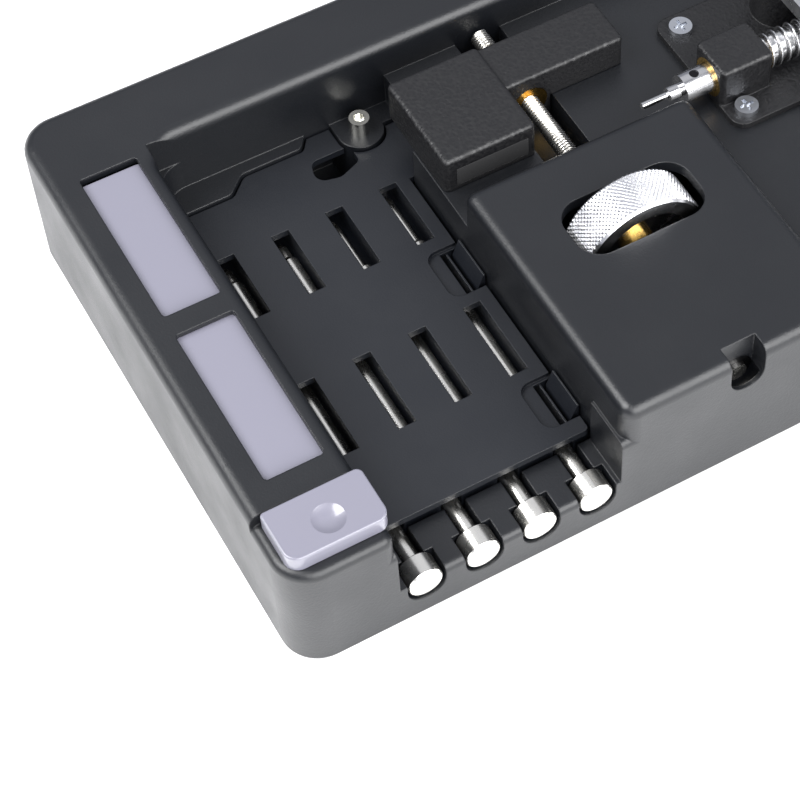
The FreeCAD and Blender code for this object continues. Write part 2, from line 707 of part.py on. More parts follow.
def spacers():
    """Brass tubes round the screw that keep the wheel midway between its bearings."""
    front = WHEEL_Y - WHEEL_WIDTH / 2
    rear = WHEEL_Y + WHEEL_WIDTH / 2
    rings = []
    for y0, y1 in ((CHAMBER_FRONT, front - 0.25), (rear + 0.25, CHAMBER_REAR)):
        tube = cyl_y(SCREW_X, SCREW_Z, y0, y1, SPACER_RADIUS)
        rings.append(tube.cut(cyl_y(SCREW_X, SCREW_Z, y0 - 1, y1 + 1, SCREW_DIAMETER / 2 + 0.35)))
    return rings


def fixed_pad():
    """The flat pad let into the vise block's rear face."""
    return box(PAD_LEFT, PAD_LEFT + PAD_WIDTH, BLOCK_DEPTH - PAD_THICKNESS, BLOCK_DEPTH,
               BED_Z + PAD_RISE, CASE_TOP - 3.0)


def jaw_pad():
    """The flat pad let into the moving jaw's front face."""
    return box(PAD_LEFT, PAD_LEFT + PAD_WIDTH, JAW_FRONT, JAW_FRONT + PAD_THICKNESS,
               BED_Z + PAD_RISE, CASE_TOP - 3.0)


def moving_jaw():
    """The cast jaw: left upstand, bridge over the trough and a lug that runs in it."""
    bottom = BED_Z + 0.15
    upstand = rounded_box(JAW_LEFT, JAW_LEFT + UPSTAND_WIDTH, JAW_FRONT, BRIDGE_FRONT + BRIDGE_DEPTH,
                          bottom, CASE_TOP, 1.2)
    upstand = fillet_level(upstand, CASE_TOP, 1.0)
    bridge = rounded_box(JAW_LEFT + 4, BRIDGE_RIGHT, BRIDGE_FRONT, BRIDGE_FRONT + BRIDGE_DEPTH,
                         bottom, CASE_TOP - 1.2, 1.2)
    bridge = fillet_level(bridge, CASE_TOP - 1.2, 0.8)
    lug = box(SCREW_X - LUG_WIDTH / 2, SCREW_X + LUG_WIDTH / 2, BRIDGE_FRONT, BRIDGE_FRONT + BRIDGE_DEPTH,
              TROUGH_Z + 0.3, bottom + 1)
    jaw = upstand.fuse([bridge, lug])
    nut_seat = cyl_y(SCREW_X, SCREW_Z, BRIDGE_FRONT - 1, BRIDGE_FRONT + BRIDGE_DEPTH + 1, NUT_DIAMETER / 2)
    return jaw.cut(nut_seat).cut(jaw_pad())


def brass_nut():
    """The threaded brass insert pressed into the jaw's lug."""
    nut = cyl_y(SCREW_X, SCREW_Z, BRIDGE_FRONT, BRIDGE_FRONT + BRIDGE_DEPTH, NUT_DIAMETER / 2)
    return nut.cut(cyl_y(SCREW_X, SCREW_Z, BRIDGE_FRONT - 1, BRIDGE_FRONT + BRIDGE_DEPTH + 1,
                         SCREW_DIAMETER / 2 + RUNNING))


# ---------------------------------------------------------------- lever press
def press_frame():
    """The bracket on the wing: base plate, guide block for the ram, and pivot boss."""
    floor = BED_Z + BRACKET_PLATE
    plate = rounded_box(GUIDE_LEFT, BRACKET_RIGHT, BRACKET_FRONT, BRACKET_REAR, BED_Z, floor, 3.0)
    guide = rounded_box(GUIDE_LEFT, GUIDE_RIGHT, RAM_Y - GUIDE_HALF, RAM_Y + GUIDE_HALF, BED_Z,
                        GUIDE_TOP, 1.2)
    guide = fillet_level(guide, GUIDE_TOP, 0.8)
    boss = cyl_z(PIVOT_X, PIVOT_Y, BED_Z, LEVER_BOTTOM - 0.4, BOSS_RADIUS)
    web = box(PIVOT_X - 1.5, PIVOT_X + 1.5, PIVOT_Y, BRACKET_REAR - 1.5, BED_Z, BED_Z + 6)
    frame = plate.fuse([guide, boss, web])
    tools = [
        cyl_x(RAM_Y, RAM_AXIS, GUIDE_LEFT - 1, GUIDE_RIGHT + 1, RAM_DIAMETER / 2 + BUSH_WALL),
        cyl_z(PIVOT_X, PIVOT_Y, BED_Z - 1, LEVER_BOTTOM, PIVOT_DIAMETER / 2),
    ]
    tools += [cyl_z(x, y, BED_Z - 1, floor + 1, SCREW_CORE) for x, y in BRACKET_SCREWS]
    return cut_all(frame, tools)


def bracket_screws():
    """Three screws that hold the bracket to the case."""
    seat = BED_Z + BRACKET_PLATE
    return Part.makeCompound([pan_screw(x, y, seat, 8.0, 1.2, 1) for x, y in BRACKET_SCREWS])


def ram_bush():
    """The bronze bush that guides the ram."""
    return cyl_x(RAM_Y, RAM_AXIS, GUIDE_LEFT, GUIDE_RIGHT, RAM_DIAMETER / 2 + BUSH_WALL).cut(
        cyl_x(RAM_Y, RAM_AXIS, GUIDE_LEFT - 1, GUIDE_RIGHT + 1, RAM_DIAMETER / 2 + RUNNING))


def ram():
    """The ram: a round bar with a yoke at its right end, bored for a punch at its left end."""
    bar = cyl_x(RAM_Y, RAM_AXIS, RAM_TIP_X, DRIVE_X - YOKE_HALF_X + 1, RAM_DIAMETER / 2)
    yoke = box(DRIVE_X - YOKE_HALF_X, DRIVE_X + YOKE_HALF_X, RAM_Y - YOKE_HALF_Y, RAM_Y + YOKE_HALF_Y,
               RAM_AXIS - YOKE_HALF_Z, RAM_AXIS + YOKE_HALF_Z)
    slot_half = DRIVE_DIAMETER / 2 + 0.3
    slot = box(DRIVE_X - slot_half, DRIVE_X + slot_half, RAM_Y - 3.2, RAM_Y + 3.2, 0, CASE_TOP + 10)
    punch_bore = cyl_x(RAM_Y, RAM_AXIS, RAM_TIP_X - 1, RAM_TIP_X + PUNCH_DEPTH, PUNCH_RADIUS)
    screw_bore = cyl_z(GRUB_X, RAM_Y, RAM_AXIS, RAM_AXIS + 4, GRUB_RADIUS)
    return cut_all(bar.fuse(yoke), [slot, punch_bore, screw_bore])


def ram_punch():
    """The working punch held in the ram's end."""
    seat = RAM_TIP_X + PUNCH_DEPTH
    shank = cyl_x(RAM_Y, RAM_AXIS, RAM_TIP_X - 3, seat, PUNCH_RADIUS)
    needle = cyl_x(RAM_Y, RAM_AXIS, RAM_TIP_X - 9, seat - 1, PUNCH_RADIUS / 2)
    return shank.fuse(needle)


def ram_grub():
    """The grub screw that clamps the punch."""
    return cyl_z(GRUB_X, RAM_Y, RAM_AXIS + 1.5, RAM_AXIS + RAM_DIAMETER / 2 - 0.2, GRUB_RADIUS)


def ram_spring():
    """The space of the return spring between the guide block and the yoke, as a plain sleeve."""
    start = GUIDE_RIGHT + 0.5
    end = DRIVE_X - YOKE_HALF_X - 0.5
    sleeve = cyl_x(RAM_Y, RAM_AXIS, start, end, RAM_DIAMETER / 2 + 0.8)
    return sleeve.cut(cyl_x(RAM_Y, RAM_AXIS, start - 1, end + 1, RAM_DIAMETER / 2 + 0.1))


def long_arm():
    """The lever's long arm, from the pivot to inside the grip."""
    return rounded_box(PIVOT_X - LEVER_HALF, PIVOT_X + LEVER_HALF, LEVER_FRONT, PIVOT_Y, LEVER_BOTTOM,
                       LEVER_BOTTOM + LEVER_THICKNESS, 2.0)


def press_lever():
    """The flat steel lever: a hub over the pivot, a short arm for the pin and a long arm for the grip."""
    top = LEVER_BOTTOM + LEVER_THICKNESS
    hub = cyl_z(PIVOT_X, PIVOT_Y, LEVER_BOTTOM, top, 7.0)
    short = rounded_box(-4.0, 4.0, -LEVER_ARM - 4.0, 2.0, LEVER_BOTTOM, top, 3.9)
    short.rotate(vec(0, 0, 0), vec(0, 0, 1), LEVER_SWING / 2)
    short.translate(vec(PIVOT_X, PIVOT_Y, 0))
    long = long_arm()
    lever = hub.fuse([short, long])
    tools = [
        cyl_z(PIVOT_X, PIVOT_Y, 0, top + 1, PIVOT_DIAMETER / 2 + RUNNING),
        cyl_z(DRIVE_X, DRIVE_Y, 0, top + 1, DRIVE_DIAMETER / 2),
    ]
    return cut_all(lever, tools)


def lever_grip():
    """The moulded grip over the lever's long arm."""
    middle = LEVER_BOTTOM + LEVER_THICKNESS / 2
    grip = rounded_box(PIVOT_X - GRIP_HALF, PIVOT_X + GRIP_HALF, GRIP_FRONT, GRIP_REAR, middle - 3.4,
                       middle + 3.4, 5.0)
    rims = [e for e in grip.Edges if abs(e.BoundBox.ZMax - e.BoundBox.ZMin) < EPS]
    grip = grip.makeFillet(2.0, rims)
    return grip.cut(long_arm())


def drive_pin():
    """The pin pressed into the short arm; it works in the ram's yoke."""
    return cyl_z(DRIVE_X, DRIVE_Y, RAM_AXIS - YOKE_HALF_Z + 0.5, LEVER_BOTTOM + LEVER_THICKNESS,
                 DRIVE_DIAMETER / 2)


def pivot_pin():
    """The pivot pin pressed into the bracket's boss, with a groove for the retaining ring."""
    top = LEVER_BOTTOM + LEVER_THICKNESS
    pin = cyl_z(PIVOT_X, PIVOT_Y, BED_Z, top + 1.6, PIVOT_DIAMETER / 2)
    groove = cyl_z(PIVOT_X, PIVOT_Y, top + GROOVE_RISE, top + GROOVE_RISE + GROOVE_WIDTH,
                   PIVOT_DIAMETER / 2 + 1)
    return pin.cut(groove.cut(cyl_z(PIVOT_X, PIVOT_Y, 0, top + 5, PIVOT_DIAMETER / 2 - GROOVE_WIDTH)))


def retaining_ring():
    """The ring that keeps the lever on its pivot."""
    top = LEVER_BOTTOM + LEVER_THICKNESS
    mouth = box(PIVOT_X - 1.4, PIVOT_X + 1.4, PIVOT_Y, PIVOT_Y + 6, top, top + 2)
    opening = mouth.fuse(cyl_z(PIVOT_X, PIVOT_Y, top, top + 2, PIVOT_DIAMETER / 2 - GROOVE_WIDTH))
    ring = cyl_z(PIVOT_X, PIVOT_Y, top + GROOVE_RISE, top + GROOVE_RISE + GROOVE_WIDTH, 4.4)
    return ring.cut(opening)


# ---------------------------------------------------------------- write the nodes
NODES = {
    "top_case": top_case(),
    "base_cover": base_cover(),
    "case_screws": case_screws(),
    "rubber_feet": feet(),
    "pin_rack": pin_rack(),
    "rack_cover": rack_cover(),
    "rack_latch_front": latch(*SCOOP_SPANS[0]),
    "rack_latch_rear": latch(*SCOOP_SPANS[1]),
    "rack_screw": rack_screw(),
    "slide_cover": slide_cover(),
    "bearing_front": bush(FRONT_NOTCH_DEPTH, CHAMBER_FRONT, SCREW_DIAMETER / 2 + RUNNING),
    "bearing_rear": bush(CHAMBER_REAR, BLOCK_DEPTH, SCREW_DIAMETER / 2 + RUNNING),
    "spacer_front": spacers()[0],
    "spacer_rear": spacers()[1],
    "thumbwheel": thumbwheel(),
    "wheel_hub": wheel_hub(),
    "jaw_screw": jaw_screw(),
    "moving_jaw": moving_jaw(),
    "brass_nut": brass_nut(),
    "moving_jaw_pad": jaw_pad(),
    "fixed_jaw_pad": fixed_pad(),
    "press_frame": press_frame(),
    "bracket_screws": bracket_screws(),
    "ram_bush": ram_bush(),
    "ram": ram(),
    "ram_punch": ram_punch(),
    "ram_grub_screw": ram_grub(),
    "ram_spring": ram_spring(),
    "press_lever": press_lever(),
    "lever_grip": lever_grip(),
    "drive_pin": drive_pin(),
    "pivot_pin": pivot_pin(),
    "retaining_ring": retaining_ring(),
}
for number in range(PIN_COUNT):
    NODES["punch_pin_%d" % (number + 1)] = punch_pin(number)

for node, solid in NODES.items():
    placed = save(node, solid)
    size = placed.BoundBox
    print("%-20s solids %d valid %s volume %.1f size %.1f %.1f %.1f" % (
        node, len(placed.Solids), placed.isValid(), placed.Volume, size.XLength, size.YLength, size.ZLength))
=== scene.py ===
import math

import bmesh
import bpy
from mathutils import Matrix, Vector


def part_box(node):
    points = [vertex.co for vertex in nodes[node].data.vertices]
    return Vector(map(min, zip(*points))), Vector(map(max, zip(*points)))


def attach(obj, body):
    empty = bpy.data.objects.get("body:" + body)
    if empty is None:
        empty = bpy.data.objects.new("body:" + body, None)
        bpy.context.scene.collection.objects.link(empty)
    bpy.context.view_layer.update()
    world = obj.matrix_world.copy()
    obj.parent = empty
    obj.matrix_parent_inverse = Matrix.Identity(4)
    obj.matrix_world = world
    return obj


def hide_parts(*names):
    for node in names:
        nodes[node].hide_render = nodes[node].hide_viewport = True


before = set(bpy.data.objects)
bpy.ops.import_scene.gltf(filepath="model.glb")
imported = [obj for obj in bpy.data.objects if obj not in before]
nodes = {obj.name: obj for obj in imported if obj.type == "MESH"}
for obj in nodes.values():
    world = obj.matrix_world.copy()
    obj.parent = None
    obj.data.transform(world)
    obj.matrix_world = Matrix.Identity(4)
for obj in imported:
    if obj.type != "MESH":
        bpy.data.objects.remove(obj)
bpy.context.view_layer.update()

# %% [markdown]
# # A bench pin press
# A small black bench tool: a screw vise in the middle, four headed punch pins that slide out of a
# rack beside it, a storage strip with a clear sliding cover on the left, and a lever ram on the right.
# The CAD parts are already in the scene. This lesson gives them their surfaces, and remakes the few
# pieces whose detail is too fine for the solids: the wheel's knurl, the thread, the return spring and
# the grip's ribs.

MM = 0.001

# %% [markdown]
# ## Small helpers
# Colours are easiest to read as the sRGB hex values that paint charts use, but shaders mix light
# linearly, so one function converts them. Another adds a node, sets its properties and fills its
# inputs: a value is stored in the socket, and a socket from another node is linked to it.

# %% Colour and node helpers
def colour(hex_value):
    """sRGB hex to linear RGBA."""
    def linear(part):
        part /= 255
        return part / 12.92 if part <= 0.04045 else ((part + 0.055) / 1.055) ** 2.4
    parts = [int(hex_value[i:i + 2], 16) for i in (1, 3, 5)]
    return tuple(linear(p) for p in parts) + (1.0,)


def add(tree, kind, inputs=None, **settings):
    """A new node with its settings, its input values and its links."""
    node = tree.nodes.new(kind)
    for name, value in settings.items():
        setattr(node, name, value)
    for name, value in (inputs or {}).items():
        if isinstance(value, bpy.types.NodeSocket):
            tree.links.new(value, node.inputs[name])
        else:
            node.inputs[name].default_value = value
    return node


def new_material(name):
    """An empty material: its tree, its principled shader and the piece's own coordinates."""
    material = bpy.data.materials.new(name)
    material.use_nodes = True
    tree = material.node_tree
    tree.nodes.clear()
    shader = add(tree, "ShaderNodeBsdfPrincipled")
    output = add(tree, "ShaderNodeOutputMaterial", {"Surface": shader.outputs["BSDF"]})
    place = add(tree, "ShaderNodeTexCoord").outputs["Object"]
    return material, tree, shader, place


def put_on(material, *names):
    """Give CAD nodes a material."""
    for name in names:
        slots = nodes[name].material_slots
        if not slots:
            nodes[name].data.materials.append(material)
        for slot in nodes[name].material_slots:
            slot.material = material


print("helpers ready")

# %% [markdown]
# ## Moulded black ABS
# The case is injection-moulded ABS. The mould is spark-eroded, which leaves a fine even grain: it
# breaks up reflections, so the plastic looks dark grey from above and pale at a grazing angle. The
# real grain is about 0.3 mm across and is drawn at half a millimetre so that it shows. Two noises
# make it, one for the grain and one, about a centimetre wide, for the slight unevenness of gloss. A
# Bevel node rounds the light on sharp edges, as a real mould does.

# %% Moulded plastics
def moulded_plastic(name, base, rough, grain_mm, grain_depth_mm, edge_mm):
    material, tree, shader, place = new_material(name)
    shader.inputs["Base Color"].default_value = colour(base)
    shader.inputs["IOR"].default_value = 1.53
    grain = add(tree, "ShaderNodeTexNoise", {"Vector": place, "Scale": 1 / (grain_mm * MM), "Detail": 3.0,
                                             "Roughness": 0.6})
    clouds = add(tree, "ShaderNodeTexNoise", {"Vector": place, "Scale": 70.0, "Detail": 4.0})
    gloss = add(tree, "ShaderNodeMapRange", {"Value": clouds.outputs["Fac"], "From Min": 0.3, "From Max": 0.7,
                                             "To Min": rough - 0.05, "To Max": rough + 0.05})
    tree.links.new(gloss.outputs["Result"], shader.inputs["Roughness"])
    edge = add(tree, "ShaderNodeBevel", {"Radius": edge_mm * MM}, samples=6)
    bump = add(tree, "ShaderNodeBump", {"Height": grain.outputs["Fac"], "Distance": grain_depth_mm * MM,
                                        "Strength": 0.9, "Normal": edge.outputs["Normal"]})
    tree.links.new(bump.outputs["Normal"], shader.inputs["Normal"])
    return material


black_abs = moulded_plastic("moulded_black_abs", "#0c0e12", 0.4, 0.5, 0.05, 0.4)
rack_abs = moulded_plastic("satin_black_abs", "#0c0f15", 0.44, 0.4, 0.035, 0.2)
soft_grip = moulded_plastic("soft_touch_grip", "#161719", 0.6, 0.5, 0.03, 0.4)
put_on(black_abs, "top_case", "base_cover")
put_on(rack_abs, "pin_rack", "rack_cover", "rack_latch_front", "rack_latch_rear")
print("plastics", black_abs.name, rack_abs.name, soft_grip.name)

# %% [markdown]
# ## Wrinkle-coated castings and rubber
# The jaw and the bracket are zinc castings under a black wrinkle lacquer, whose skin shrinks into
# ridges half a millimetre apart. Cells from a Voronoi texture, pulled about by noise, give those
# ridges, and the crests are a little glossier than the valleys.

# %% Wrinkle lacquer and rubber
def wrinkle_lacquer():
    material, tree, shader, place = new_material("black_wrinkle_lacquer")
    shader.inputs["Base Color"].default_value = colour("#0f0f11")
    shader.inputs["IOR"].default_value = 1.5
    warp = add(tree, "ShaderNodeTexNoise", {"Vector": place, "Scale": 1400.0, "Detail": 2.0})
    pulled = add(tree, "ShaderNodeVectorMath", {0: warp.outputs["Color"], 1: (0.0006, 0.0006, 0.0006)},
                 operation="MULTIPLY")
    moved = add(tree, "ShaderNodeVectorMath", {0: place, 1: pulled.outputs["Vector"]}, operation="ADD")
    cells = add(tree, "ShaderNodeTexVoronoi", {"Vector": moved.outputs["Vector"], "Scale": 1500.0},
                feature="SMOOTH_F1")
    gloss = add(tree, "ShaderNodeMapRange", {"Value": cells.outputs["Distance"], "From Min": 0.1,
                                             "From Max": 0.6, "To Min": 0.32, "To Max": 0.55})
    tree.links.new(gloss.outputs["Result"], shader.inputs["Roughness"])
    edge = add(tree, "ShaderNodeBevel", {"Radius": 0.4 * MM}, samples=6)
    bump = add(tree, "ShaderNodeBump", {"Height": cells.outputs["Distance"], "Distance": 0.12 * MM,
                                        "Strength": 1.0, "Normal": edge.outputs["Normal"]})
    tree.links.new(bump.outputs["Normal"], shader.inputs["Normal"])
    return material


lacquer = wrinkle_lacquer()
rubber = moulded_plastic("matte_rubber", "#202021", 0.75, 0.6, 0.03, 0.3)
put_on(lacquer, "moving_jaw", "press_frame")
put_on(rubber, "rubber_feet", "moving_jaw_pad", "fixed_jaw_pad")
print("castings and rubber", lacquer.name, rubber.name)

# %% [markdown]
# ## Turned, ground and plated metal
# The pins, the ram and the screws are turned: the tool leaves rings a few hundredths of a millimetre
# apart across the axis, drawn here at 0.25 mm so that they show. A wave texture along the axis makes
# them, and noise varies the polish. Metals keep the default IOR: colour and roughness say
# the rest.

# %% Metals
BAND_LENGTH = 0.314       # a wave texture of scale 1 repeats after this length


def turned_metal(name, base, rough, axis, ring_mm=0.25, ring_depth_mm=0.004):
    material, tree, shader, place = new_material(name)
    shader.inputs["Base Color"].default_value = colour(base)
    shader.inputs["Metallic"].default_value = 1.0
    rings = add(tree, "ShaderNodeTexWave", {"Vector": place, "Scale": BAND_LENGTH / (ring_mm * MM),
                                            "Distortion": 0.6, "Detail": 2.0, "Detail Scale": 2.0},
                bands_direction=axis)
    polish = add(tree, "ShaderNodeTexNoise", {"Vector": place, "Scale": 260.0, "Detail": 5.0})
    gloss = add(tree, "ShaderNodeMapRange", {"Value": polish.outputs["Fac"], "From Min": 0.3, "From Max": 0.7,
                                             "To Min": rough - 0.05, "To Max": rough + 0.06})
    tree.links.new(gloss.outputs["Result"], shader.inputs["Roughness"])
    bump = add(tree, "ShaderNodeBump", {"Height": rings.outputs["Fac"], "Distance": ring_depth_mm * MM,
                                        "Strength": 0.5})
    tree.links.new(bump.outputs["Normal"], shader.inputs["Normal"])
    return material


pin_steel = turned_metal("turned_silver_steel", "#e8e6e0", 0.26, "Y")
ram_steel = turned_metal("turned_tool_steel", "#c9c9ca", 0.22, "X")
plate_steel = turned_metal("ground_steel_plate", "#bfc0c2", 0.3, "X", ring_mm=0.4)
screw_steel = turned_metal("bright_screw_steel", "#d9d8d2", 0.2, "Z")
zinc = turned_metal("zinc_plated_steel", "#b9bcc2", 0.33, "Z")
black_oxide_and_shade = turned_metal("black_oxide_steel_and_shade", "#2b2b2d", 0.38, "Z")
chrome = turned_metal("satin_chrome", "#f2f2f4", 0.24, "Y", ring_mm=0.3, ring_depth_mm=0.002)
brass = turned_metal("turned_brass", "#c9a45a", 0.26, "Y")
put_on(pin_steel, "punch_pin_1", "punch_pin_2", "punch_pin_3", "punch_pin_4")
put_on(ram_steel, "ram", "ram_punch")
put_on(plate_steel, "press_lever")
put_on(screw_steel, "rack_screw", "drive_pin", "pivot_pin")
put_on(zinc, "case_screws", "bracket_screws")
put_on(black_oxide_and_shade, "ram_grub_screw", "retaining_ring")
put_on(brass, "wheel_hub", "brass_nut", "ram_bush")
# Painted shade: the bushes and spacers get the dark black-oxide steel instead of brass, so that the notch and
# the wheel's dish stay as dark as they are in shade.
put_on(black_oxide_and_shade, "bearing_front", "bearing_rear", "spacer_front", "spacer_rear")
print("metals ready")

# %% [markdown]
# ## The clear cover
# The sliding cover is polycarbonate with a fine frosted underside, so it looks pale grey with the
# dark well only hinted at. Its polished edges gather light.

# %% Frosted polycarbonate
def frosted_cover():
    material, tree, shader, place = new_material("frosted_polycarbonate")
    shader.inputs["Base Color"].default_value = colour("#6d6c78")
    shader.inputs["IOR"].default_value = 1.58
    shader.inputs["Coat Weight"].default_value = 0.6
    shader.inputs["Coat Roughness"].default_value = 0.06
    frost = add(tree, "ShaderNodeTexNoise", {"Vector": place, "Scale": 2200.0, "Detail": 2.0})
    clouds = add(tree, "ShaderNodeTexNoise", {"Vector": place, "Scale": 60.0, "Detail": 3.0})
    gloss = add(tree, "ShaderNodeMapRange", {"Value": clouds.outputs["Fac"], "From Min": 0.3, "From Max": 0.7,
                                             "To Min": 0.28, "To Max": 0.4})
    tree.links.new(gloss.outputs["Result"], shader.inputs["Roughness"])
    bump = add(tree, "ShaderNodeBump", {"Height": frost.outputs["Fac"], "Distance": 0.006 * MM,
                                        "Strength": 0.5})
    tree.links.new(bump.outputs["Normal"], shader.inputs["Normal"])
    return material


clear_cover = frosted_cover()
put_on(clear_cover, "slide_cover")
print("cover", clear_cover.name)
put_on(chrome, "thumbwheel")
put_on(soft_grip, "lever_grip")

# %% [markdown]
# ## Rules that repeat: knurl, thread and grip ribs
# A knurling tool presses the same small diamond into the wheel's rim over a thousand times, a die
# cuts the same groove turn after turn, and the grip's ribs repeat along it. Each is a short rule, so
# Geometry Nodes build them from a few named sizes, and the result is then frozen into a plain mesh.

# %% Helpers for node trees
def new_tree(name, sizes):
    """A geometry tree whose inputs are named sizes."""
    tree = bpy.data.node_groups.new(name, "GeometryNodeTree")
    tree.interface.new_socket("Geometry", in_out="OUTPUT", socket_type="NodeSocketGeometry")
    for label, (kind, value) in sizes.items():
        socket = tree.interface.new_socket(label, in_out="INPUT", socket_type=kind)
        if value is not None:
            socket.default_value = value
    return tree, add(tree, "NodeGroupInput").outputs


def math_node(tree, operation, first, second=0.0):
    """A sum, product or other operation on two numbers or sockets."""
    return add(tree, "ShaderNodeMath", {0: first, 1: second}, operation=operation).outputs["Value"]


def close_tree(tree, geometry, material):
    """Realize the instances, set the material and send the mesh out."""
    real = add(tree, "GeometryNodeRealizeInstances", {"Geometry": geometry})
    painted = add(tree, "GeometryNodeSetMaterial",
                  {"Geometry": real.outputs["Geometry"], "Material": material})
    add(tree, "NodeGroupOutput", {"Geometry": painted.outputs["Geometry"]})


def build(tree, name):
    """Run a tree on an empty mesh and keep its result as a plain object, faces outwards."""
    seed = bpy.data.objects.new(name + "_seed", bpy.data.meshes.new(name + "_seed"))
    bpy.context.scene.collection.objects.link(seed)
    seed.modifiers.new("tree", "NODES").node_group = tree
    bpy.context.view_layer.update()
    made = seed.evaluated_get(bpy.context.evaluated_depsgraph_get())
    mesh = bpy.data.meshes.new_from_object(made)
    bpy.data.objects.remove(seed)
    mesh.name = name
    shell = bmesh.new()
    shell.from_mesh(mesh)
    bmesh.ops.recalc_face_normals(shell, faces=shell.faces)
    if shell.calc_volume(signed=True) < 0:
        bmesh.ops.reverse_faces(shell, faces=shell.faces)
    volume = shell.calc_volume(signed=True)
    shell.to_mesh(mesh)
    shell.free()
    piece = bpy.data.objects.new(name, mesh)
    bpy.context.scene.collection.objects.link(piece)
    print(name, "faces", len(mesh.polygons), "volume %.1f mm3" % (volume / MM ** 3))
    return piece


# %% [markdown]
# ## The knurled rim
# Points are laid on the rim in staggered rows, so that each row's diamonds sit in the gaps of the
# next, and a four-sided pyramid stands on every point with its tip outwards.

# %% Diamond knurl on the thumbwheel
wheel_low, wheel_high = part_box("thumbwheel")
wheel_centre = (wheel_low + wheel_high) / 2
wheel_radius = (wheel_high.z - wheel_low.z) / 2
tree, size = new_tree("diamond_knurl", {
    "Radius": ("NodeSocketFloat", wheel_radius), "Width": ("NodeSocketFloat", 7.6 * MM),
    "Around": ("NodeSocketInt", 84), "Rows": ("NodeSocketInt", 15), "Height": ("NodeSocketFloat", 0.3 * MM),
    "Base": ("NodeSocketFloat", 0.52 * MM), "Tip": ("NodeSocketFloat", 0.06 * MM)})
count = math_node(tree, "MULTIPLY", size["Around"], size["Rows"])
line = add(tree, "GeometryNodeMeshLine", {"Count": count})
index = add(tree, "GeometryNodeInputIndex").outputs["Index"]
row = math_node(tree, "FLOOR", math_node(tree, "DIVIDE", index, size["Around"]))
stagger = math_node(tree, "MULTIPLY", math_node(tree, "MODULO", row, 2.0), 0.5)
step = math_node(tree, "ADD", index, stagger)
angle = math_node(tree, "MULTIPLY", math_node(tree, "DIVIDE", step, size["Around"]), math.tau)
gaps = math_node(tree, "SUBTRACT", size["Rows"], 1.0)
across = math_node(tree, "SUBTRACT", math_node(tree, "DIVIDE", row, gaps), 0.5)
outward = add(tree, "ShaderNodeCombineXYZ", {"X": math_node(tree, "COSINE", angle),
                                             "Z": math_node(tree, "SINE", angle)})
ring = add(tree, "ShaderNodeVectorMath", {0: outward.outputs["Vector"], "Scale": size["Radius"]},
           operation="SCALE")
side = add(tree, "ShaderNodeCombineXYZ", {"Y": math_node(tree, "MULTIPLY", across, size["Width"])})
spot = add(tree, "ShaderNodeVectorMath", {0: ring.outputs["Vector"], 1: side.outputs["Vector"]},
           operation="ADD")
centred = add(tree, "ShaderNodeVectorMath", {0: spot.outputs["Vector"], 1: tuple(wheel_centre)},
              operation="ADD")
placed = add(tree, "GeometryNodeSetPosition", {"Geometry": line.outputs["Mesh"],
                                               "Position": centred.outputs["Vector"]})
turn = add(tree, "FunctionNodeAlignRotationToVector", {"Vector": outward.outputs["Vector"]},
           axis="Z", pivot_axis="Y")
diamond = add(tree, "GeometryNodeMeshCone", {"Vertices": 4, "Radius Bottom": size["Base"],
                                             "Radius Top": size["Tip"], "Depth": size["Height"]})
teeth = add(tree, "GeometryNodeInstanceOnPoints", {"Points": placed.outputs["Geometry"],
                                                   "Instance": diamond.outputs["Mesh"],
                                                   "Rotation": turn.outputs["Rotation"]})
close_tree(tree, teeth.outputs["Instances"], chrome)
knurl = build(tree, "wheel_knurl")
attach(knurl, "wheel")

# %% [markdown]
# ## The threaded screw
# An M4 screw has a 0.7 mm pitch. A grid is wrapped round the axis, and its radius dips with a
# triangle wave that advances one pitch a turn: that is the thread. The front of the screw, inside
# the block, stays plain, and the first and last rows close to points so that the ends are shut.

# %% M4 thread
screw_low, screw_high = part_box("jaw_screw")
screw_axis = (screw_low + screw_high) / 2
screw_length = screw_high.y - screw_low.y
tree, size = new_tree("screw_thread", {
    "Radius": ("NodeSocketFloat", (screw_high.z - screw_low.z) / 2),
    "Length": ("NodeSocketFloat", screw_length), "Pitch": ("NodeSocketFloat", 0.7 * MM),
    "Depth": ("NodeSocketFloat", 0.42 * MM), "Plain End": ("NodeSocketFloat", 46 * MM),
    "Rows": ("NodeSocketInt", 840), "Around": ("NodeSocketInt", 29)})
grid = add(tree, "GeometryNodeMeshGrid", {"Size X": 1.0, "Size Y": 1.0, "Vertices X": size["Around"],
                                          "Vertices Y": size["Rows"]})
position = add(tree, "GeometryNodeInputPosition").outputs["Position"]
flat = add(tree, "ShaderNodeSeparateXYZ", {"Vector": position})
around = math_node(tree, "ADD", flat.outputs["X"], 0.5)
along = math_node(tree, "MULTIPLY", math_node(tree, "ADD", flat.outputs["Y"], 0.5), size["Length"])
turns = math_node(tree, "ADD", math_node(tree, "DIVIDE", along, size["Pitch"]), around)
saw = math_node(tree, "FRACT", turns)
wave = math_node(tree, "MULTIPLY", math_node(tree, "ABSOLUTE", math_node(tree, "SUBTRACT", saw, 0.5)), 2.0)
cut = math_node(tree, "GREATER_THAN", along, size["Plain End"])
dip = math_node(tree, "MULTIPLY", math_node(tree, "MULTIPLY", wave, size["Depth"]), cut)
full = math_node(tree, "SUBTRACT", size["Radius"], dip)
inner = math_node(tree, "LESS_THAN", math_node(tree, "ABSOLUTE", flat.outputs["Y"]), 0.49999)
radius = math_node(tree, "MULTIPLY", full, inner)
angle = math_node(tree, "MULTIPLY", around, math.tau)
sideways = math_node(tree, "MULTIPLY", math_node(tree, "COSINE", angle), radius)
upwards = math_node(tree, "MULTIPLY", math_node(tree, "SINE", angle), radius)
wrapped = add(tree, "ShaderNodeCombineXYZ", {"X": math_node(tree, "ADD", sideways, screw_axis.x),
                                             "Y": math_node(tree, "ADD", along, screw_low.y),
                                             "Z": math_node(tree, "ADD", upwards, screw_axis.z)})
